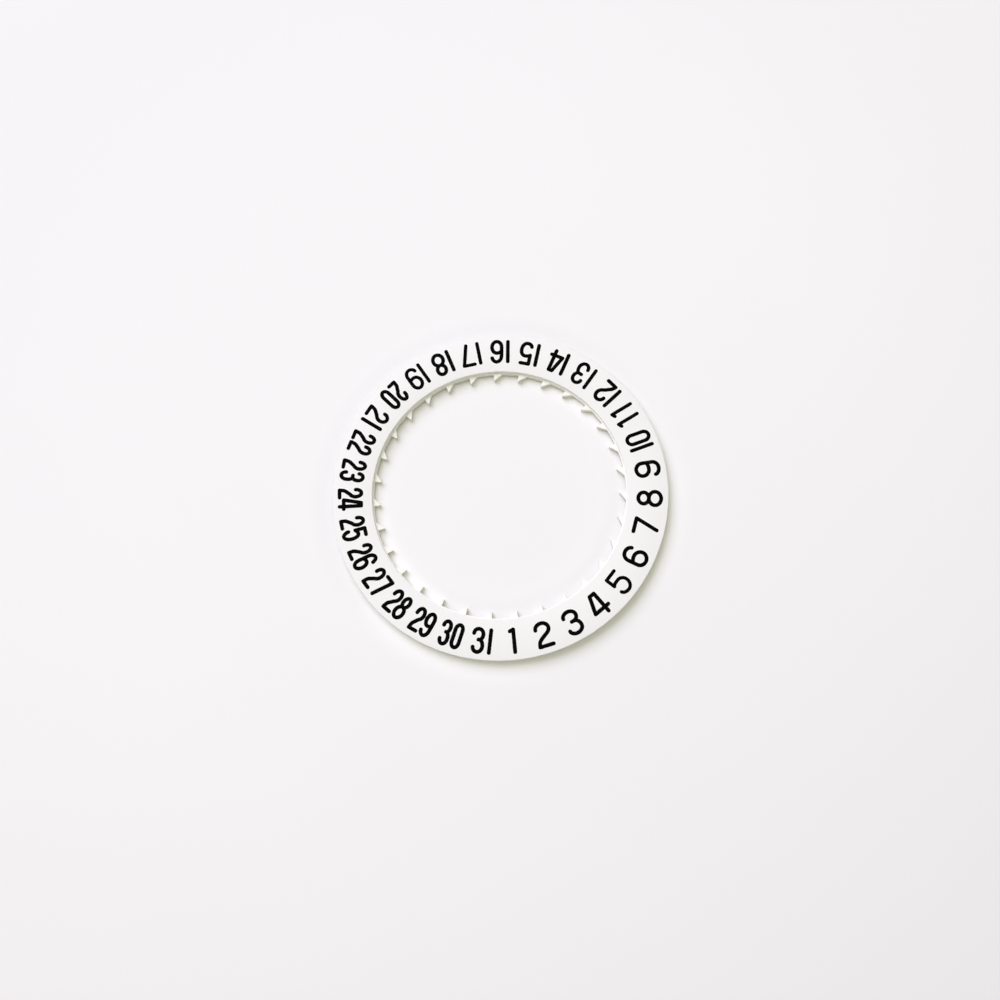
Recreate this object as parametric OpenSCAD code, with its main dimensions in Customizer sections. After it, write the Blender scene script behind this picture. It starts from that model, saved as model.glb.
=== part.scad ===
// Date disc of a watch calendar: a flat ring that carries the days of the month and is
// turned by one tooth each night. Two pieces are bonded face to face: the plate that is
// printed with the numerals, and below it a ring with one ratchet tooth for each day.
//
// Millimetres, +Z out of the printed face. The origin is the centre of the disc on its
// underside. Day 1 lies towards -Y, and the days run anticlockwise seen from +Z.

/* [Disc] */
// Number of days, each with one tooth
days = 31; // [24:1:36]
// Diameter of the disc over its rim
disc_d = 22; // [18:0.5:30]
// Width of the flat face that carries the numerals, from the rim inwards
face_w = 2.63; // [2:0.01:4]

/* [Numeral plate] */
// Thickness of the printed plate
plate_t = 0.3; // [0.2:0.05:1]
// Bevel that breaks the upper and lower edge of the plate's rim
rim_break = 0.04; // [0.01:0.01:0.09]
// Bevel that breaks the inner edge of the printed face
bore_break = 0.03; // [0.01:0.01:0.09]

/* [Tooth ring] */
// Thickness of the toothed ring
ring_t = 0.4; // [0.15:0.05:0.8]
// How far the toothed ring stays inside the plate's rim, so that only the rim is guided
rim_setback = 0.12; // [0.05:0.01:0.5]
// Ledge of the toothed ring that shows inside the plate's inner edge
ledge_w = 0.08; // [0.02:0.01:0.3]
// Bevel that breaks the outer edge of the underside
under_break = 0.04; // [0.01:0.01:0.12]

/* [Teeth] */
// Height of a tooth, from the root circle to its tip
tooth_h = 0.43; // [0.2:0.01:0.8]
// Length of a tooth along the root circle, without its foot radius
tooth_base = 0.56; // [0.4:0.02:0.9]
// Width of the small flat at a tooth's tip
tip_flat = 0.05; // [0.02:0.01:0.15]
// Radius that blends the sloped flank into the root circle
foot_r = 0.15; // [0.05:0.01:0.25]
// Place of the steep flank after the middle of its numeral, as a share of the pitch
steep_phase = 0.265; // [0:0.005:1]

/* [Hidden] */
$fn = 240;

rim_r = disc_d / 2;
bore_r = rim_r - face_w;
ring_r = rim_r - rim_setback;
root_r = bore_r - ledge_w;
tip_r = root_r - tooth_h;
top_z = ring_t + plate_t;
pitch = 360 / days;
first_day = -90;
// How far a tooth's outline runs into the ring behind the root circle
root_bond = 0.1;

white = [0.96, 0.96, 0.95];
ring_white = [0.88, 0.88, 0.86];

// Point at radius r and angle a about the disc's axis
function polar(r, a) = r * [cos(a), sin(a)];
// Angle that an arc of a given length spans at radius r
function arc_angle(length, r) = length / r * 180 / PI;

// One tooth lies with its steep flank on the X axis and its slope clockwise of it.
// The slope runs from its foot on the root circle to the flat at the tip.
slope_foot = polar(root_r, -arc_angle(tooth_base, root_r));
slope_top = polar(tip_r, -arc_angle(tip_flat, tip_r));
slope_dir = (slope_top - slope_foot) / norm(slope_top - slope_foot);
gap_normal = [-slope_dir[1], slope_dir[0]];

// The foot radius touches the slope and runs just past the root circle, so that it
// meets the root at a clear crossing. Its arc is drawn from the slope to the root.
root_overrun = 0.004;
arc_steps = 5;
offset_foot = slope_foot + foot_r * gap_normal;
along = offset_foot * slope_dir;
excess = offset_foot * offset_foot - pow(root_r - foot_r + root_overrun, 2);
foot_centre = offset_foot + (-along - sqrt(along * along - excess)) * slope_dir;
arc_start = atan2(-gap_normal[1], -gap_normal[0]);
arc_end = atan2(foot_centre[1], foot_centre[0]);
foot_arc = [
    for (step = [0 : arc_steps])
        foot_centre + polar(foot_r, arc_start + (arc_end - arc_start) * step / arc_steps)
];

// Flat ring that carries the numerals on its upper face
module numeral_plate() {
    color(white)
        rotate_extrude()
            polygon([
                [bore_r, ring_t],
                [rim_r - rim_break, ring_t],
                [rim_r, ring_t + rim_break],
                [rim_r, top_z - rim_break],
                [rim_r - rim_break, top_z],
                [bore_r + bore_break, top_z],
                [bore_r, top_z - bore_break]
            ]);
}

// Outline of one ratchet tooth: steep flank, flat tip, slope and foot radius
module tooth_outline() {
    polygon(concat(
        [polar(root_r + root_bond, 0), polar(tip_r, 0), slope_top],
        foot_arc,
        [polar(root_r + root_bond, arc_end)]
    ));
}

// Lower ring: the finger of the calendar train pushes the steep flanks, and the
// jumper's spring rides down the slopes and holds the disc between two teeth
module tooth_ring() {
    color(ring_white)
        union() {
            rotate_extrude()
                polygon([
                    [root_r, 0],
                    [ring_r - under_break, 0],
                    [ring_r, under_break],
                    [ring_r, ring_t],
                    [root_r, ring_t]
                ]);
            for (day = [1 : days])
                rotate(first_day + (day - 1 + steep_phase) * pitch)
                    linear_extrude(height = ring_t)
                        tooth_outline();
        }
}

numeral_plate();
tooth_ring();
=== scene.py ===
# %% [markdown]
# Watch date disc, a lesson in dressing a small printed part
#
# The real object is the calendar disc of a wristwatch: a flat white ring about as wide as a
# small coin, printed with the days 1 to 31, with one ratchet tooth for each day round its
# inner edge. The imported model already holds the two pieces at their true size. This script
# adds what that model leaves plain: softly broken edges, the finishes, the black numerals,
# and a camera and light like those of a product photograph on white paper.

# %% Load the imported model
import math

import bpy
from mathutils import Matrix, Vector


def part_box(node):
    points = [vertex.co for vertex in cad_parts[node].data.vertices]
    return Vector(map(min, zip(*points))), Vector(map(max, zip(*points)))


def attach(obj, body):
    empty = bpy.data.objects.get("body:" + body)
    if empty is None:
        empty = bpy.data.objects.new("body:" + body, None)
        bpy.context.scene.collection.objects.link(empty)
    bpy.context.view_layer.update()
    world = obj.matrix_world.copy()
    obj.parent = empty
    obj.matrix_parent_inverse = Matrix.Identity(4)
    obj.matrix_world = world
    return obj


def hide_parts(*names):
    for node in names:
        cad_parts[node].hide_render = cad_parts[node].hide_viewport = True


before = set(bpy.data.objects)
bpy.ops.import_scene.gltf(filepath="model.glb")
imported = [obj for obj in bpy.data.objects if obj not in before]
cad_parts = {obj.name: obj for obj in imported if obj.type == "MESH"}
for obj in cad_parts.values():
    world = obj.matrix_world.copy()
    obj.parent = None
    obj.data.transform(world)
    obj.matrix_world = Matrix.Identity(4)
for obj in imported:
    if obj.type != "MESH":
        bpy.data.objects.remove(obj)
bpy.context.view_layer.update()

# %% [markdown]
# Units
#
# The scene is in metres, but a watch part is easier to think about in millimetres, and
# Blender's bevel ignores edges of a few thousandths of a unit. A scaled parent would hide
# the difference, but a finished piece has to stand unscaled. So each piece is modelled with
# one unit to the millimetre and brought down to metres as its last step.

# %% Working units and the sizes that the frame gives
MM = 0.001


def corner_radii(node):
    """Distance of each corner of a node's mesh from the disc's axis, in millimetres."""
    return [math.hypot(v.co.x, v.co.y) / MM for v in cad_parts[node].data.vertices]


def heights(node):
    """Lowest and highest level of a node, in millimetres."""
    low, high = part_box(node)
    return low.z / MM, high.z / MM


tooth_h = 0.43
plate_radii = corner_radii("numeral_plate")
ring_radii = corner_radii("tooth_ring")
bore_r, rim_r = min(plate_radii), max(plate_radii)
tip_r, ring_r = min(ring_radii), max(ring_radii)
ring_low, ring_top = heights("tooth_ring")
plate_low, face_z = heights("numeral_plate")
root_r = tip_r + tooth_h
print(f"plate: bore {bore_r:.3f}, rim {rim_r:.3f}, from {plate_low:.3f} to {face_z:.3f} mm")
print(f"teeth: tips {tip_r:.3f}, ring {ring_r:.3f}, from {ring_low:.3f} to {ring_top:.3f} mm")

# %% [markdown]
# Camera
#
# The photograph looks steeply down on the disc, about 15 degrees off its axis, from a little
# to the right of day 1. A camera can be turned by eye until the picture looks right, but two
# circles and 31 numerals fix it better. So the lens, the distance and the roll were worked
# out by matching those, and the camera is placed by its angles about the disc.

# %% Camera
view_azimuth = 7.3
view_elevation = 75.0
view_roll = -12.97
view_distance = 70.76
view_target = Vector((0.019, -0.573, face_z))
focal_px = 1085.5
image_px = 1000
sensor_mm = 36.0
nearest_seen = 5.0
farthest_seen = 10000.0


def photo_camera():
    """Camera at the photograph's place, with its roll about the line of sight."""
    bpy.ops.object.camera_add()
    camera = bpy.context.object
    camera.name = "photo_camera"
    camera.data.sensor_width = sensor_mm
    camera.data.lens = focal_px * sensor_mm / image_px
    camera.data.clip_start = nearest_seen * MM
    camera.data.clip_end = farthest_seen * MM
    azimuth = math.radians(view_azimuth)
    elevation = math.radians(view_elevation)
    back = Vector((
        math.sin(azimuth) * math.cos(elevation),
        -math.cos(azimuth) * math.cos(elevation),
        math.sin(elevation),
    ))
    level = back.to_track_quat("Z", "Y").to_matrix().to_4x4()
    place = Matrix.Translation((view_target + back * view_distance) * MM)
    camera.matrix_world = place @ level @ Matrix.Rotation(math.radians(view_roll), 4, "Z")
    bpy.context.scene.camera = camera
    return camera


camera = photo_camera()
bpy.context.scene.view_settings.view_transform = "Standard"
print("camera at", [round(v / MM, 2) for v in camera.location], "lens", round(camera.data.lens, 2))

# %% [markdown]
# Shader maths
#
# A finish is a small sum: a colour that drifts, plus a little dirt, less a little wear. Built
# node by node it is hard to read, so one small class wraps a socket and lets the sums be
# written as sums.


# %% A socket that can be used in sums
class Socket:
    """Wraps a node's output, so that +, - and * add Math nodes."""

    def __init__(self, tree, output):
        self.tree = tree
        self.output = output

    def node(self, kind, settings=None, inputs=None, output=0):
        """Adds a node of any kind and returns one of its outputs."""
        made = self.tree.nodes.new(kind)
        for name, value in (settings or {}).items():
            setattr(made, name, value)
        for name, value in (inputs or {}).items():
            if isinstance(value, Socket):
                self.tree.links.new(value.output, made.inputs[name])
            else:
                made.inputs[name].default_value = value
        return Socket(self.tree, made.outputs[output])

    def maths(self, operation, *values):
        """Adds a Math node that has these values as its inputs, in this order."""
        return self.node("ShaderNodeMath", {"operation": operation}, dict(enumerate(values)))

    def __add__(self, other):
        return self.maths("ADD", self, other)

    def __radd__(self, other):
        return self.maths("ADD", other, self)

    def __sub__(self, other):
        return self.maths("SUBTRACT", self, other)

    def __rsub__(self, other):
        return self.maths("SUBTRACT", other, self)

    def __mul__(self, other):
        return self.maths("MULTIPLY", self, other)

    def __rmul__(self, other):
        return self.maths("MULTIPLY", other, self)

    def between(self, low, high):
        """0 below low, 1 above high, and a smooth rise from one to the other."""
        settings = {"interpolation_type": "SMOOTHSTEP"}
        limits = {0: self, 1: low, 2: high, 3: 0.0, 4: 1.0}
        return self.node("ShaderNodeMapRange", settings, limits)

    def blend(self, first, second):
        """A colour that is first where this value is 0 and second where it is 1."""
        settings = {"data_type": "RGBA"}
        return self.node("ShaderNodeMix", settings, {0: self, 6: first, 7: second}, output=2)


def rgb(red, green, blue):
    """A colour with full opacity."""
    return (red, green, blue, 1.0)


def new_finish(name):
    """A new material, its surface shader, and its Object coordinates in millimetres."""
    material = bpy.data.materials.new(name)
    material.use_nodes = True
    tree = material.node_tree
    surface = tree.nodes["Principled BSDF"]
    coordinates = tree.nodes.new("ShaderNodeTexCoord")
    metres = Socket(tree, coordinates.outputs["Object"])
    settings = {"operation": "SCALE"}
    place = metres.node("ShaderNodeVectorMath", settings, {0: metres, "Scale": 1 / MM})
    return material, surface, place


def noise(place, size, detail=2.0, roughness=0.5):
    """Soft random values from 0 to 1, with features about size millimetres across."""
    inputs = {"Vector": place, "Scale": 1 / size, "Detail": detail, "Roughness": roughness}
    return place.node("ShaderNodeTexNoise", None, inputs)


def coordinate(place, axis):
    """One of the three parts of a place: 0 is x, 1 is y and 2 is z."""
    return place.node("ShaderNodeSeparateXYZ", None, {0: place}, output=axis)


def radius_from_axis(place):
    """Distance from the disc's axis in millimetres."""
    x = coordinate(place, 0)
    y = coordinate(place, 1)
    square = x * x + y * y
    return square.maths("SQRT", square)


def join(surface, values):
    """Connects values to the surface shader's sockets, or sets them."""
    for name, value in values.items():
        if isinstance(value, Socket):
            value.tree.links.new(value.output, surface.inputs[name])
        else:
            surface.inputs[name].default_value = value


def relief(place, height, depth):
    """Normals for a surface that rises by depth millimetres as height goes from 0 to 1."""
    inputs = {"Height": height, "Distance": depth * MM, "Strength": 1.0}
    return place.node("ShaderNodeBump", None, inputs)


print("shader helpers ready")

# %% [markdown]
# White lacquer of the printed plate
#
# The upper plate is sprayed white and left satin so that the black ink holds on it. Such a coat
# is never quite even: it drifts by a hundredth or so in tone and has a very fine orange peel.
# Towards the rim it is greyer, partly where the coat thins and partly as painted shade on the
# rim's edge. Along the edge of the bore it is lighter, which is painted light on the shaded
# bore wall. One flat colour would look like a diagram, and a painted picture would need a seam
# somewhere. So each of these is one term below, placed by noise or by the distance from the axis.


# %% Finish of the numeral plate
lacquer_dull = rgb(0.883, 0.871, 0.862)
lacquer_clean = rgb(0.918, 0.907, 0.902)
# The rim colour is partly a thinner coat and partly painted shade on the rim's edge; the next colour is
# painted light that brightens the shaded bore wall.
lacquer_rim_thin_and_shaded = rgb(0.790, 0.778, 0.760)
lacquer_bore_painted_light = rgb(0.935, 0.927, 0.905)
coat_drift = 3.0
coat_peel = 0.09
coat_grain = 0.03
peel_depth = 0.0012


def plate_finish():
    """Satin white lacquer with a fine orange peel."""
    material, surface, place = new_finish("white_lacquer")
    drift = noise(place, coat_drift, 3.0)
    peel = noise(place, coat_peel)
    grain = noise(place, coat_grain, 1.0)
    radius = radius_from_axis(place)
    # Greyer towards the rim: a thinner coat and painted shade. Lighter at the bore: painted light on
    # the bore wall and the face's edge.
    rim = radius.between(rim_r - 0.06, rim_r - 0.01)
    bore_painted_light = 1 - radius.between(bore_r + 0.005, bore_r + 0.07)
    tone = (drift - 0.5) * 0.5 + (peel - 0.5) * 0.2 + 0.5
    coat = tone.blend(lacquer_dull, lacquer_clean)
    edged = (rim * 0.5).blend(coat, lacquer_rim_thin_and_shaded)
    join(surface, {
        "Base Color": (bore_painted_light * 0.6).blend(edged, lacquer_bore_painted_light),
        "Roughness": 0.52 + (drift - 0.5) * 0.12 + (grain - 0.5) * 0.08,
        "Specular IOR Level": 0.18,
        "Normal": relief(place, peel * 0.7 + grain * 0.3, peel_depth),
    })
    return material


plate_white = plate_finish()
print("made", plate_white.name)

# %% [markdown]
# Moulded ring
#
# The toothed layer is a plain off-white self-lubricating plastic. It is more matt than the
# lacquer and slightly creamier. Its flat faces are smooth from the mould. The flanks of the
# teeth carry faint level lines from the cutter, and their colour is a little greyer as painted
# shade. A dark band low on the walls, strongest on the inner wall at the root of the teeth, is
# painted contact shade where the ring sits on the paper. All of it follows the height and the
# distance from the axis, so two such masks place it, and nothing has to be painted by hand.


# %% Finish of the tooth ring
plastic_dull = rgb(0.895, 0.888, 0.836)
plastic_clean = rgb(0.930, 0.925, 0.880)
# The flank colour is painted shade for the ring's walls.
plastic_flank_shade = rgb(0.800, 0.790, 0.735)
# This dark colour is painted contact shade for the foot of the walls.
painted_contact_shade = rgb(0.36, 0.35, 0.27)
plastic_drift = 1.4
plastic_grain = 0.035
line_stretch = (3.0, 3.0, 30.0)
line_depth = 0.003


def ring_finish():
    """Matt off-white plastic, with level lines and painted shade on the flanks, and painted contact
    shade low on the walls.
    """
    material, surface, place = new_finish("matt_plastic")
    drift = noise(place, plastic_drift, 3.0)
    grain = noise(place, plastic_grain)
    radius = radius_from_axis(place)
    z = coordinate(place, 2)
    off_floor = z.between(ring_low + 0.005, ring_low + 0.03)
    off_top = 1 - z.between(ring_top - 0.03, ring_top - 0.005)
    flank = off_floor * off_top
    behind_root = 1 - radius.between(root_r + 0.02, root_r + 0.06)
    corner = radius.between(root_r - 0.03, root_r - 0.005) * behind_root
    low = z.between(ring_low, ring_low + 0.01) * (1 - z.between(ring_low + 0.08, ring_low + 0.26))
    # The film below is painted contact shade: darker low on all walls, most of all on the inner wall at
    # the root of the teeth.
    film = low * (corner * 0.4 + 0.1)
    stretched = place.node("ShaderNodeMapping", None, {"Vector": place, "Scale": line_stretch})
    lines = noise(stretched, 1.0, 1.0)
    tone = (drift - 0.5) * 0.6 + (grain - 0.5) * 0.25 + 0.5 - flank * (lines * 0.35)
    clean = tone.blend(plastic_dull, plastic_clean)
    # Greyer flanks are painted shade on the ring's walls.
    shaded_flanks = (flank * 0.9).blend(clean, plastic_flank_shade)
    join(surface, {
        "Base Color": film.blend(shaded_flanks, painted_contact_shade),
        "Roughness": 0.55 + (grain - 0.5) * 0.12 + flank * 0.08,
        "Specular IOR Level": 0.4,
        "Normal": relief(place, grain * 0.5 + flank * lines * 0.5, line_depth),
    })
    return material


ring_white = ring_finish()
print("made", ring_white.name)

# %% [markdown]
# Printing ink
#
# The numerals are pad printed: a thin film of black ink, nearly matt, a little greyer where
# the film is thin. The film stands up less than a hundredth of a millimetre. A gloss would
# bring white reflections that the photograph doesn't have, so the ink gets next to none.


# %% Finish of the numerals
ink_thick = rgb(0.0005, 0.0005, 0.0005)
ink_thin = rgb(0.002, 0.002, 0.002)
ink_patch = 0.35
ink_grain = 0.02
ink_relief = 0.0015


def ink_finish():
    """Thin black ink film, nearly matt."""
    material, surface, place = new_finish("black_ink")
    cover = noise(place, ink_patch, 3.0)
    grain = noise(place, ink_grain, 1.0)
    join(surface, {
        "Base Color": (cover * 0.8 + grain * 0.2).blend(ink_thick, ink_thin),
        "Roughness": 0.5 + (cover - 0.5) * 0.2,
        "Specular IOR Level": 0.01,
        "Normal": relief(place, cover * 0.6 + grain * 0.4, ink_relief),
    })
    return material


numeral_ink = ink_finish()
print("made", numeral_ink.name)

# %% [markdown]
# Modelling by operators
#
# Operators act on what is selected, as they do for someone who works at the window. A mesh
# could also be written down point by point, but the steps say more about the piece. The
# helpers below select one object, or the corners, edges or faces that pass a test, so that
# what follows reads like work by hand.


# %% Helpers for modelling with operators
def only(obj):
    """Makes obj the one that is selected and active."""
    bpy.ops.object.select_all(action="DESELECT")
    obj.select_set(True)
    bpy.context.view_layer.objects.active = obj


def edit(obj, mode="VERT"):
    """Opens edit mode on obj with nothing selected."""
    only(obj)
    bpy.ops.object.mode_set(mode="EDIT")
    bpy.ops.mesh.select_mode(type=mode)
    bpy.ops.mesh.select_all(action="DESELECT")


def select_where(obj, test, kind="vertices"):
    """In edit mode, selects only the vertices, edges or faces whose corners pass a test."""
    bpy.ops.mesh.select_all(action="DESELECT")
    bpy.ops.object.mode_set(mode="OBJECT")
    mesh = obj.data
    found = 0
    for item in getattr(mesh, kind):
        corners = [item.co] if kind == "vertices" else [mesh.vertices[i].co for i in item.vertices]
        item.select = bool(test(corners))
        found += item.select
    bpy.ops.object.mode_set(mode="EDIT")
    return found


def apply(obj, name):
    """Applies the modifier of that name."""
    only(obj)
    bpy.ops.object.modifier_apply(modifier=name)


def is_closed(obj):
    """True if every edge of the mesh has exactly two faces."""
    uses = {}
    for polygon in obj.data.polygons:
        for key in polygon.edge_keys:
            uses[key] = uses.get(key, 0) + 1
    return set(uses.values()) == {2}


def finish_piece(obj, name, material):
    """Brings a piece from millimetres to metres, names it and gives it its finish and body."""
    only(obj)
    bpy.ops.object.transform_apply(location=True, rotation=True, scale=True)
    bpy.ops.transform.resize(value=(MM, MM, MM), center_override=(0, 0, 0))
    bpy.ops.object.transform_apply(location=True, rotation=True, scale=True)
    obj.name = name
    obj.data.name = name
    obj.data.materials.clear()
    obj.data.materials.append(material)
    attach(obj, "disc")
    return obj


smooth_below = math.radians(14)
print("edges that turn by less than", round(math.degrees(smooth_below)), "degrees are shaded smooth")

# %% [markdown]
# Printed plate
#
# On the bench this is a washer turned from thin sheet: its section is a long low rectangle with
# the two rim corners and the upper bore corner broken. A cylinder with a hole and bevelled
# edges would do, but a section shows all three corners at a glance. So a plane stands on edge,
# three of its corners are rounded, and it is spun once round the axis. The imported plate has
# the same section with straight bevels.

# %% Numeral plate
rim_break = 0.04
bore_break = 0.03
round_steps = 4
hair = 0.001
steps_per_day = 16
days = 31
pitch = 360 / days


def turned_plate():
    """Plate spun from its section, with rounded corners."""
    width = rim_r - bore_r
    height = face_z - plate_low
    middle = ((bore_r + rim_r) / 2, 0, (plate_low + face_z) / 2)
    bpy.ops.mesh.primitive_plane_add(size=1, location=middle, rotation=(math.radians(90), 0, 0))
    plate = bpy.context.object
    plate.scale = (width, height, 1)
    bpy.ops.object.transform_apply(location=True, rotation=True, scale=True)
    edit(plate)
    select_where(plate, lambda c: c[0].x > middle[0])
    bpy.ops.mesh.bevel(offset=rim_break, segments=round_steps, affect="VERTICES")
    select_where(plate, lambda c: c[0].x < middle[0] and c[0].z > middle[2])
    bpy.ops.mesh.bevel(offset=bore_break, segments=round_steps, affect="VERTICES")
    bpy.ops.mesh.select_all(action="SELECT")
    bpy.ops.mesh.delete(type="ONLY_FACE")
    bpy.ops.mesh.select_all(action="SELECT")
    steps = days * steps_per_day
    bpy.ops.mesh.spin(steps=steps, angle=math.tau, center=(0, 0, 0), axis=(0, 0, 1))
    bpy.ops.mesh.select_all(action="SELECT")
    bpy.ops.mesh.remove_doubles(threshold=hair / 2)
    bpy.ops.mesh.normals_make_consistent(inside=False)
    bpy.ops.object.mode_set(mode="OBJECT")
    bpy.ops.object.shade_smooth_by_angle(angle=smooth_below)
    return plate


plate = finish_piece(turned_plate(), "printed_plate", plate_white)
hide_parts("numeral_plate")
print("plate faces", len(plate.data.polygons), "closed", is_closed(plate))

# %% [markdown]
# Toothed ring
#
# A ratchet tooth has a steep flank that the calendar finger pushes, a small flat tip, and a
# slope that the jumper rides down, blended into the root circle by a radius. Teeth could be
# cut from a plain ring, but all 31 are alike, so one slice of the ring is modelled, a single
# pitch wide, and an array turns it round the axis. Its edges are then rounded only once.
# The slice's outline is drawn like a draughtsman's: a point is extruded along the straight
# runs and spun along the arcs, and the seams fall on the plain root between two teeth, where
# neighbours meet without a step.

# %% Sizes of a tooth
tooth_base = 0.56
tip_flat = 0.05
foot_r = 0.15
edge_round = 0.018
tip_round = 0.014
tooth_round_steps = 3
root_steps = 5
foot_steps = 7
seam = pitch * 0.3


def polar(radius, degrees):
    """Point at a radius and an angle about the axis."""
    angle = math.radians(degrees)
    return Vector((radius * math.cos(angle), radius * math.sin(angle), 0))


def arc_degrees(length, radius):
    """Angle that a length spans along a circle."""
    return math.degrees(length / radius)


def degrees_of(point):
    """Direction of a point from the axis."""
    return math.degrees(math.atan2(point.y, point.x))


slope_foot = polar(root_r, -arc_degrees(tooth_base, root_r))
slope_top = polar(tip_r, -arc_degrees(tip_flat, tip_r))
along = (slope_top - slope_foot).normalized()
into_gap = Vector((-along.y, along.x, 0))
off_slope = slope_foot + foot_r * into_gap
reach = off_slope.dot(along)
shortfall = off_slope.length_squared - (root_r - foot_r) ** 2
foot_centre = off_slope + (-reach - math.sqrt(reach * reach - shortfall)) * along
foot_start = degrees_of(foot_centre)
foot_turn = degrees_of(-into_gap) - foot_start
foot_turn = (foot_turn + 180) % 360 - 180
print(f"root {root_r:.3f} mm, foot radius ends {foot_start:.2f} degrees, turns {foot_turn:.1f} degrees")


# %% One slice of the toothed ring
def extrude_to(start, end):
    """Extrudes the selected point by a straight run."""
    bpy.ops.mesh.extrude_region_move(TRANSFORM_OT_translate={"value": end - start})


def spin_by(degrees, steps, centre=(0, 0, 0)):
    """Spins the selected point along an arc. The operator counts clockwise turns as positive."""
    bpy.ops.mesh.spin(steps=steps, angle=-math.radians(degrees), center=centre, axis=(0, 0, 1))


def slice_outline():
    """Flat face with the outline of one pitch of the ring, on the underside's level."""
    start = polar(root_r, seam - pitch)
    start.z = ring_low
    bpy.ops.mesh.primitive_plane_add(size=1, location=start)
    piece = bpy.context.object
    bpy.ops.object.transform_apply(location=True)
    edit(piece)
    bpy.ops.mesh.select_all(action="SELECT")
    bpy.ops.mesh.merge(type="CENTER")
    spin_by(foot_start - (seam - pitch), root_steps)
    spin_by(foot_turn, foot_steps, foot_centre)
    tangent = foot_centre - into_gap * foot_r
    extrude_to(tangent, slope_top)
    extrude_to(slope_top, polar(tip_r, 0))
    extrude_to(polar(tip_r, 0), polar(root_r, 0))
    spin_by(seam, root_steps)
    extrude_to(polar(root_r, seam), polar(ring_r, seam))
    spin_by(-pitch, steps_per_day)
    bpy.ops.mesh.select_all(action="SELECT")
    bpy.ops.mesh.edge_face_add()
    bpy.ops.object.mode_set(mode="OBJECT")
    return piece


ring = slice_outline()
print("slice outline has", len(ring.data.vertices), "corners and", len(ring.data.polygons), "face")


# %% Thickness, seams and broken edges of the slice
def near(value, target):
    """True within a hair, a thousandth of a millimetre."""
    return abs(value - target) < hair


def flat_radius(corner):
    """Distance of a corner from the axis."""
    return math.hypot(corner.x, corner.y)


def at_angle(corner, degrees):
    """True if a corner lies on the radial line at that angle."""
    return abs(degrees_of(corner) - degrees) < 0.01


def raise_slice(piece):
    """Gives the slice its thickness, opens its two seams and rounds the edges that show."""
    edit(piece, "FACE")
    bpy.ops.mesh.select_all(action="SELECT")
    bpy.ops.mesh.extrude_region_move(TRANSFORM_OT_translate={"value": (0, 0, ring_top - ring_low)})
    bpy.ops.mesh.select_all(action="SELECT")
    bpy.ops.mesh.normals_make_consistent(inside=False)
    for angle in (seam, seam - pitch):
        select_where(piece, lambda c: all(at_angle(p, angle) for p in c), "polygons")
        bpy.ops.mesh.delete(type="ONLY_FACE")
    bpy.ops.mesh.select_mode(type="EDGE")
    bpy.ops.mesh.select_all(action="DESELECT")
    tips = select_where(piece, lambda c: all(near(flat_radius(p), tip_r) for p in c)
                        and not near(c[0].z, c[1].z), "edges")
    bpy.ops.mesh.bevel(offset=tip_round, segments=tooth_round_steps, affect="EDGES")
    rims = select_where(piece, lambda c: near(c[0].z, c[1].z)
                        and all(flat_radius(p) < root_r + hair for p in c), "edges")
    bpy.ops.mesh.bevel(offset=edge_round, segments=tooth_round_steps, affect="EDGES")
    outer = select_where(piece, lambda c: all(near(p.z, ring_low) and near(flat_radius(p), ring_r)
                                              for p in c), "edges")
    bpy.ops.mesh.bevel(offset=rim_break, segments=round_steps, affect="EDGES")
    bpy.ops.object.mode_set(mode="OBJECT")
    print("rounded", tips, "tip edges,", rims, "edges along the teeth and", outer, "outer edges")


raise_slice(ring)


# %% All 31 teeth
def tooth_angle():
    """Where the steep flank next to day 1 stands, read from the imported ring."""
    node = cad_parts["tooth_ring"]
    tips = [degrees_of(v.co) for v in node.data.vertices if near(flat_radius(v.co) / MM, tip_r)]
    after_day_1 = [(a + 90) % pitch for a in tips]
    flank = max(a for a in after_day_1 if a < pitch - 0.05)
    return flank - 90


def turn_round(piece):
    """Copies the slice round the axis and closes the seams."""
    piece.rotation_euler.z = math.radians(tooth_angle())
    only(piece)
    bpy.ops.object.transform_apply(rotation=True)
    bpy.ops.object.empty_add()
    turned = bpy.context.object
    turned.rotation_euler.z = math.radians(pitch)
    array = piece.modifiers.new("teeth", "ARRAY")
    array.count = days
    array.use_relative_offset = False
    array.use_object_offset = True
    array.offset_object = turned
    bpy.context.view_layer.update()
    apply(piece, "teeth")
    bpy.data.objects.remove(turned)
    edit(piece)
    bpy.ops.mesh.select_all(action="SELECT")
    bpy.ops.mesh.remove_doubles(threshold=hair)
    bpy.ops.mesh.normals_make_consistent(inside=False)
    bpy.ops.object.mode_set(mode="OBJECT")
    bpy.ops.object.shade_smooth_by_angle(angle=smooth_below)


turn_round(ring)
ring = finish_piece(ring, "ratchet_ring", ring_white)
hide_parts("tooth_ring")
print("ring faces", len(ring.data.polygons), "closed", is_closed(ring))
print("first flank at", round(tooth_angle(), 2), "degrees")

# %% [markdown]
# Numerals
#
# The days are drawn with a round nib, as an engraver's cutter leaves them on the printing
# plate: bars, slants and bows, all with round ends. A font would be quicker, but its figures
# would have other shapes and widths. So a stroke is a centre line and a width. The centre line
# is a curve whose knots sit where the stroke runs level or upright. The curve is drawn out to
# the ink's thickness and given the nib's width, and a disc closes each end. A digit squeezed
# between two limits keeps its height, which is how the printer fits two figures into the room
# of one.
#
# A knot is its place in millimetres and the heading of the stroke there, in degrees.

# %% Knots of the figures 0 to 4
cap = 0.715
bow = 0.735
EAST, NORTH, WEST, SOUTH = 0, 90, 180, 270


def straight(x0, y0, x1, y1):
    """Knots of a straight stroke."""
    heading = math.degrees(math.atan2(y1 - y0, x1 - x0))
    return [(x0, y0, heading), (x1, y1, heading)]


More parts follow.
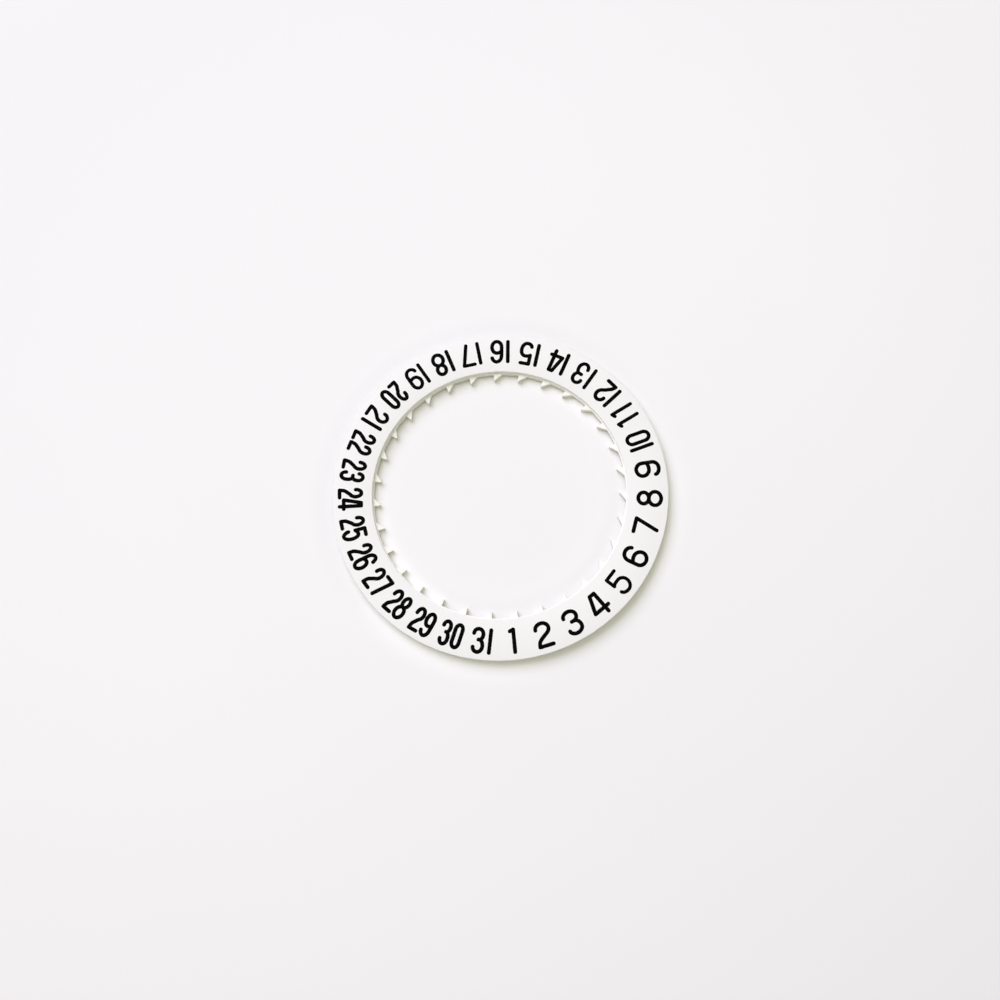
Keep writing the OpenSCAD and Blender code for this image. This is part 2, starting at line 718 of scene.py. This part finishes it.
def one(x, flag=0.0):
    """A bar, with a flag to the left where the numeral has one."""
    strokes = [straight(x, -cap, x, cap)]
    if flag:
        strokes.append(straight(x, cap, x - flag, cap - 0.1))
    return strokes


def zero(left, right):
    """A tall ring."""
    middle = (left + right) / 2
    side = bow - 0.34
    return [[
        (left, side, NORTH), (middle, bow, EAST), (right, side, SOUTH), (right, -side, SOUTH),
        (middle, -bow, WEST), (left, -side, NORTH), (left, side, NORTH),
    ]]


def two(left, right, lean=0.0):
    """A bow, a slant that swings down to the foot, and a base."""
    width = right - left
    foot = left - 0.02 * width
    curl = 0.39 if width > 0.55 else 0.36
    return [
        [
            (left, curl, NORTH), (left + 0.52 * width, bow, EAST), (right, 0.37, SOUTH),
            (left + 0.70 * width, 0.01, 235 - 28 * width),
            (left + (0.20 + lean) * width, -0.30, 244 - 28 * width), (foot, -cap, 260),
        ],
        straight(foot, -cap, right + 0.02 * width, -cap),
    ]


def three(left, right, middle=0.45):
    """Two bows that meet in a short bar."""
    width = right - left
    bar = left + middle * width
    turn = left + 0.62 * width
    return [
        [
            (left, 0.44, NORTH), (left + 0.48 * width, bow, EAST), (right - 0.02 * width, 0.39, SOUTH),
            (turn, 0.05, WEST), (bar, 0.05, WEST),
        ],
        [
            (bar, 0.05, EAST), (turn, 0.05, EAST), (right, -0.36, SOUTH),
            (left + 0.48 * width, -bow, WEST), (left, -0.43, NORTH),
        ],
    ]


def four(foot, apex, stem, end, bar=-0.37):
    """A stem, a flat top, a slant and a crossbar."""
    return [
        straight(stem, -cap, stem, cap),
        straight(stem, cap, apex, cap),
        straight(apex, cap, foot, bar),
        straight(foot, bar, end, bar),
    ]


print("figures 0 to 4 can be drawn,", 2 * cap, "mm high between the nib's centres")


# %% Knots of the figures 5 to 9
def five(left, right, end, bowl=0.18, curl=-0.47):
    """A top bar, a short upright and a bowl."""
    middle = (left + right) / 2
    return [
        straight(left, cap, end, cap),
        straight(left, cap, left, 0.08),
        [
            (left, 0.08, 45), (middle + 0.02, bowl, EAST), (right, -0.25, SOUTH),
            (middle, -bow, WEST), (left, curl, 100),
        ],
    ]


def six(left, right):
    """A hook that closes into a loop."""
    middle = (left + right) / 2
    return [[
        (right - 0.02, 0.45, 105), (middle, bow, WEST), (left, 0.30, SOUTH), (left, -0.35, SOUTH),
        (middle, -bow, EAST), (right, -0.33, NORTH), (middle, 0.10, WEST), (left, -0.03, 215),
    ]]


def seven(left, right, foot):
    """A top bar and a long slant."""
    return [straight(left, cap, right, cap), straight(right, cap, foot, -cap)]


def eight(middle, upper, lower):
    """A small ring on a larger one."""
    waist = 0.055
    return [
        [
            (middle - upper, 0.39, NORTH), (middle, bow, EAST), (middle + upper, 0.39, SOUTH),
            (middle, waist, WEST), (middle - upper, 0.39, NORTH),
        ],
        [
            (middle - lower, -0.34, NORTH), (middle, waist, EAST), (middle + lower, -0.34, SOUTH),
            (middle, -bow, WEST), (middle - lower, -0.34, NORTH),
        ],
    ]


def nine(left, right):
    """A loop that runs on into a hook."""
    middle = (left + right) / 2
    return [
        [
            (right, 0.30, NORTH), (middle, bow, WEST), (left, 0.33, SOUTH),
            (middle, -0.09, EAST), (right, 0.03, 40),
        ],
        [(right, 0.30, SOUTH), (right, -0.35, SOUTH), (middle, -bow, WEST), (left, -0.47, 100)],
    ]


print("figures 5 to 9 can be drawn")

# %% [markdown]
# Where each digit sits
#
# Single figures are wide. From 10 on two figures share the room of a tooth's pitch, so the bar of
# a 1 takes little and the other figure what is left, and in the twenties both are narrow. One
# set of digits with one spacing would look too even, so each day has its own limits. Each
# place below is where the nib's centre runs, in millimetres from the numeral's middle.

# %% Strokes of each day
day_strokes = {
    1: one(0.07, 0.22),
    2: two(-0.44, 0.41),
    3: three(-0.43, 0.43),
    4: four(-0.55, -0.115, 0.235, 0.51),
    5: five(-0.435, 0.435, 0.355),
    6: six(-0.465, 0.40),
    7: seven(-0.43, 0.47, -0.01),
    8: eight(-0.01, 0.38, 0.455),
    9: nine(-0.445, 0.42),
    10: one(-0.48) + zero(-0.105, 0.515),
    11: one(-0.315, 0.2) + one(0.49, 0.2),
    12: one(-0.54) + two(-0.135, 0.50, 0.08),
    13: one(-0.52) + three(-0.05, 0.565, 0.33),
    14: one(-0.515) + four(-0.20, 0.13, 0.365, 0.57),
    15: one(-0.52) + five(-0.06, 0.59, 0.49, 0.18, -0.52),
    16: one(-0.505) + six(-0.08, 0.57),
    17: one(-0.52) + seven(-0.12, 0.60, 0.25),
    18: one(-0.495) + eight(0.25, 0.29, 0.345),
    19: one(-0.50) + nine(-0.10, 0.57),
    20: two(-0.605, -0.17) + zero(0.17, 0.645),
    21: two(-0.51, 0.07) + one(0.53),
    22: two(-0.635, -0.165) + two(0.165, 0.63),
    23: two(-0.635, -0.175) + three(0.15, 0.635, 0.35),
    24: two(-0.67, -0.185) + four(0.0, 0.24, 0.445, 0.62, -0.44),
    25: two(-0.665, -0.185) + five(0.13, 0.655, 0.57, 0.24, -0.38),
    26: two(-0.63, -0.165) + six(0.12, 0.65),
    27: two(-0.63, -0.14) + seven(0.11, 0.64, 0.36),
    28: two(-0.64, -0.15) + eight(0.365, 0.21, 0.28),
    29: two(-0.63, -0.145) + nine(0.125, 0.63),
    30: three(-0.63, -0.155, 0.54) + zero(0.165, 0.625),
    31: three(-0.53, 0.075, 0.52) + one(0.53),
}
print(len(day_strokes), "days,", sum(len(s) for s in day_strokes.values()), "strokes")

# %% [markdown]
# From centre lines to ink
#
# A bevelled curve would give round wires, and a filled one no thickness. So the line is drawn
# out upwards, turned into a mesh and thickened sideways to the nib's width, and the parts of a
# numeral are merged into one closed film. A few days came off the pad a little thinner than
# the others.

# %% Solid strokes
nib_width = 0.252
thinner = {5: 0.026, 10: 0.008, 11: 0.014, 13: 0.010, 17: 0.010, 19: 0.014}
nib_sides = 24
curve_steps = 8
ink_above = 0.008
ink_below = 0.004
ink_depth = ink_above + ink_below
nearly_straight = 0.02


def handle_share(turn):
    """Share of a run that a handle takes, so that a bow of that turn is round."""
    turn = math.radians(abs((turn + 180) % 360 - 180))
    if turn < nearly_straight:
        return 1 / 3
    return 4 / 3 * math.tan(turn / 4) / math.sin(turn)


def handle(knot, other):
    """Place of the handle that points from a knot towards another one."""
    x, y, heading = knot
    angle = math.radians(heading)
    run = (other[0] - x) * math.cos(angle) + (other[1] - y) * math.sin(angle)
    share = handle_share(other[2] - heading)
    return (x + share * run * math.cos(angle), y + share * run * math.sin(angle), 0)


def centre_line(knots):
    """A curve through the knots, drawn out to the ink's depth."""
    closed = knots[0] == knots[-1]
    if closed:
        knots = knots[:-1]
    bpy.ops.curve.primitive_bezier_curve_add()
    line = bpy.context.object
    line.data.dimensions = "3D"
    line.data.resolution_u = curve_steps
    line.data.extrude = ink_depth / 2
    spline = line.data.splines[0]
    spline.bezier_points.add(len(knots) - len(spline.bezier_points))
    spline.use_cyclic_u = closed
    for i, knot in enumerate(knots):
        point = spline.bezier_points[i]
        point.handle_left_type = "FREE"
        point.handle_right_type = "FREE"
        point.co = (knot[0], knot[1], 0)
        point.handle_left = handle(knot, knots[i - 1]) if i or closed else point.co
        follower = knots[(i + 1) % len(knots)]
        point.handle_right = handle(knot, follower) if closed or i + 1 < len(knots) else point.co
    return line, closed


def solid_stroke(knots, nib):
    """The parts of one stroke: the drawn line with the nib's width, and its round ends."""
    line, closed = centre_line(knots)
    only(line)
    bpy.ops.object.convert(target="MESH")
    body = bpy.context.object
    width = body.modifiers.new("width", "SOLIDIFY")
    width.thickness = nib
    width.offset = 0
    apply(body, "width")
    parts = [body]
    ends = [] if closed else [knots[0], knots[-1]]
    for x, y, heading in ends:
        bpy.ops.mesh.primitive_cylinder_add(
            vertices=nib_sides, radius=nib / 2, depth=ink_depth,
            location=(x, y, 0), rotation=(0, 0, math.radians(heading)),
        )
        bpy.ops.object.transform_apply(location=True, rotation=True)
        parts.append(bpy.context.object)
    return parts


def united(parts):
    """Merges overlapping solids into one closed film of ink."""
    whole = parts[0]
    for part in parts[1:]:
        union = whole.modifiers.new("union", "BOOLEAN")
        union.operation = "UNION"
        union.solver = "MANIFOLD"
        union.object = part
        apply(whole, "union")
        bpy.data.objects.remove(part)
    return whole


print("nib", nib_width, "mm wide, ink", ink_depth, "mm deep")

# %% [markdown]
# Placing the numerals
#
# Each numeral stands upright when its day is nearest to -Y, with its head towards the centre.
# Day by day the drawing is turned one more pitch about the axis. The film reaches a little way
# into the plate, so that its lower face never lies in the plate's own face, where the two would
# flicker.

# %% Print the numerals
numeral_r = 9.79
numerals = {}


def printed_numeral(day):
    """One day's numeral as a film of ink on the plate."""
    nib = nib_width - thinner.get(day, 0)
    parts = [part for stroke in day_strokes[day] for part in solid_stroke(stroke, nib)]
    numeral = united(parts)
    only(numeral)
    bpy.ops.object.shade_smooth_by_angle(angle=smooth_below)
    turn = Matrix.Rotation(math.radians((day - 1) * pitch), 4, "Z")
    lift = face_z + (ink_above - ink_below) / 2
    numeral.matrix_world = turn @ Matrix.Translation((0, -numeral_r, lift))
    return finish_piece(numeral, f"numeral_{day:02d}", numeral_ink)


for day in day_strokes:
    numerals[day] = printed_numeral(day)
open_films = [day for day, numeral in numerals.items() if not is_closed(numeral)]
print("numerals", len(numerals), "not closed", open_films)

# %% [markdown]
# Paper
#
# The disc lies on plain white paper. The paper could glow like the backdrop, but then no shadow
# would fall on it, so near the disc it is only a colour. The lit walls of the disc throw light
# back on the paper beside them, and on either side of the main shadows the walls throw fainter
# ones. The photograph is flat in both places, so the paper is a touch darker in the first and
# lighter in the second. Far out it passes into the backdrop's white, and no horizon shows
# from the side. The masks need only the distance and the direction from the axis.

# %% Paper under the disc
key_azimuth = 124.0
backdrop_level = 0.92
backdrop_colour = (1.0, 0.99, 1.0)
paper_gap = 0.02
paper_size = 3000.0
fibre_size = 8.0
paper_light = rgb(0.925, 0.912, 0.922)
paper_dark = rgb(0.845, 0.830, 0.840)
paper_whitest = rgb(0.990, 0.978, 0.985)
black = rgb(0.0, 0.0, 0.0)
outer_reach = 2.2
inner_reach = 1.25
hidden_paper = (9, 10)
paper_ends = 48.0
backdrop_begins = 115.0


def share_towards(place, radius, degrees):
    """1 for places that lie right in a direction from the axis, 0 abreast of it, -1 opposite."""
    azimuth = math.radians(degrees)
    run = coordinate(place, 0) * math.cos(azimuth) + coordinate(place, 1) * math.sin(azimuth)
    return run.maths("DIVIDE", run, radius)


def beside_lit_walls(place, radius):
    """1 on the paper just beside the walls that face the light, and 0 away from them."""
    facing = share_towards(place, radius, key_azimuth)
    outside = 1 - radius.between(ring_r + 0.2, ring_r + outer_reach)
    outside = outside * facing.between(-0.45, 0.75) * 0.88
    inside = radius.between(tip_r - inner_reach, tip_r) * 0.72 + radius.between(tip_r, root_r) * 0.5
    inside = inside * (1 - facing.between(-0.8, 0.1))
    under_plate = radius.between(*hidden_paper)
    return under_plate * outside + (1 - under_plate) * inside


# For each faint shadow: its direction, the shares towards it at which it begins and is full,
# and how far the paper is lightened there
inner_side_shadows = [(200, 0.70, 0.92, 0.8), (68, 0.76, 0.92, 0.8)]
outer_side_shadows = [(247, 0.80, 0.96, 0.6), (-18, 0.88, 0.98, 0.4)]


def towards_shadows(place, radius, side_shadows):
    """How far the paper is lightened towards each of these shadows, and 0 elsewhere."""
    return sum(
        share_towards(place, radius, degrees).between(begins, full) * amount
        for degrees, begins, full, amount in side_shadows
    )


def in_side_shadows(place, radius):
    """Up to 1 on the paper in the faint shadows on either side of the main ones."""
    inside = radius.between(tip_r - 0.7, tip_r + 0.25)
    inside = inside * towards_shadows(place, radius, inner_side_shadows)
    outside = 1 - radius.between(rim_r + 0.3, rim_r + 1.8)
    outside = outside * towards_shadows(place, radius, outer_side_shadows)
    under_plate = radius.between(*hidden_paper)
    return under_plate * outside + (1 - under_plate) * inside


def paper_finish():
    """Plain matt white paper, a touch darker away from the light and beside lit walls."""
    material, surface, place = new_finish("paper")
    fibre = noise(place, fibre_size, 4.0)
    away = coordinate(place, 0) * 0.5 - coordinate(place, 1) * 0.9
    radius = radius_from_axis(place)
    shade = away.between(-12, 55) * 0.75 + radius.between(22, 50) * 0.35 + (fibre - 0.5) * 0.08
    shade = shade + beside_lit_walls(place, radius)
    sheet = shade.blend(paper_light, paper_dark)
    sheet = in_side_shadows(place, radius).blend(sheet, paper_whitest)
    far = radius.between(paper_ends, backdrop_begins)
    join(surface, {
        "Base Color": far.blend(sheet, black),
        "Emission Color": far.blend(black, rgb(*backdrop_colour)),
        "Emission Strength": backdrop_level,
        "Roughness": 1.0,
        "Specular IOR Level": 0.0,
    })
    return material


bpy.ops.object.select_all(action="DESELECT")
bpy.ops.mesh.primitive_plane_add(size=paper_size * MM, location=(0, 0, -paper_gap * MM))
paper = bpy.context.object
paper.name = "paper"
paper.data.materials.append(paper_finish())
print("paper lies", paper_gap, "mm under the disc")

# %% [markdown]
# Light and background
#
# The photograph has one broad soft light from its upper left, and pale surroundings that fill
# the shadows. A small lamp would cut hard shadows, and a bright room alone would give none. So
# a wide disc lamp stands at the upper left, a second one overhead lights flat faces more than
# walls, and a dim pale room does the rest. The camera and reflections see that room as the
# white backdrop, which puts no more light on the disc.

# %% Soft light and pale surroundings
key_distance = 900.0
key_size = 800.0
key_elevation = 50.0
key_power = 5.9
key_colour = (1.0, 0.965, 1.21)
top_height = 600.0
top_size = 690.0
top_power = 1.04
fill_level = 0.31
fill_colour = (1.0, 1.02, 0.8)


def soft_key():
    """Broad lamp at the upper left of the picture."""
    elevation = math.radians(key_elevation)
    azimuth = math.radians(key_azimuth)
    towards = Vector((
        math.cos(azimuth) * math.cos(elevation),
        math.sin(azimuth) * math.cos(elevation),
        math.sin(elevation),
    ))
    bpy.ops.object.light_add(type="AREA", location=towards * key_distance * MM)
    lamp = bpy.context.object
    lamp.name = "soft_key"
    lamp.rotation_euler = towards.to_track_quat("Z", "Y").to_euler()
    lamp.data.shape = "DISK"
    lamp.data.size = key_size * MM
    lamp.data.energy = key_power
    lamp.data.color = key_colour
    return lamp


def soft_top():
    """Wide lamp overhead, which lights the flat faces and leaves upright walls darker."""
    bpy.ops.object.light_add(type="AREA", location=(0, 0, top_height * MM))
    lamp = bpy.context.object
    lamp.name = "soft_top"
    lamp.data.shape = "DISK"
    lamp.data.size = top_size * MM
    lamp.data.energy = top_power
    lamp.data.color = fill_colour
    return lamp


def pale_surroundings():
    """Fill from all round, which the camera and reflections see as a white backdrop."""
    world = bpy.data.worlds.new("pale_room")
    world.use_nodes = True
    bpy.context.scene.world = world
    tree = world.node_tree
    background = tree.nodes["Background"]
    path = tree.nodes.new("ShaderNodeLightPath")
    camera_ray = Socket(tree, path.outputs["Is Camera Ray"])
    glossy_ray = Socket(tree, path.outputs["Is Glossy Ray"])
    clear_ray = Socket(tree, path.outputs["Is Transmission Ray"])
    shows = camera_ray.maths("MAXIMUM", camera_ray, glossy_ray)
    shows = shows.maths("MAXIMUM", shows, clear_ray)
    strength = shows * backdrop_level + (1 - shows) * fill_level
    tree.links.new(strength.output, background.inputs["Strength"])
    colour = shows.blend(rgb(*fill_colour), rgb(*backdrop_colour))
    tree.links.new(colour.output, background.inputs["Color"])


soft_key()
soft_top()
pale_surroundings()
print("key", key_power, "W, top", top_power, "W, fill", fill_level)
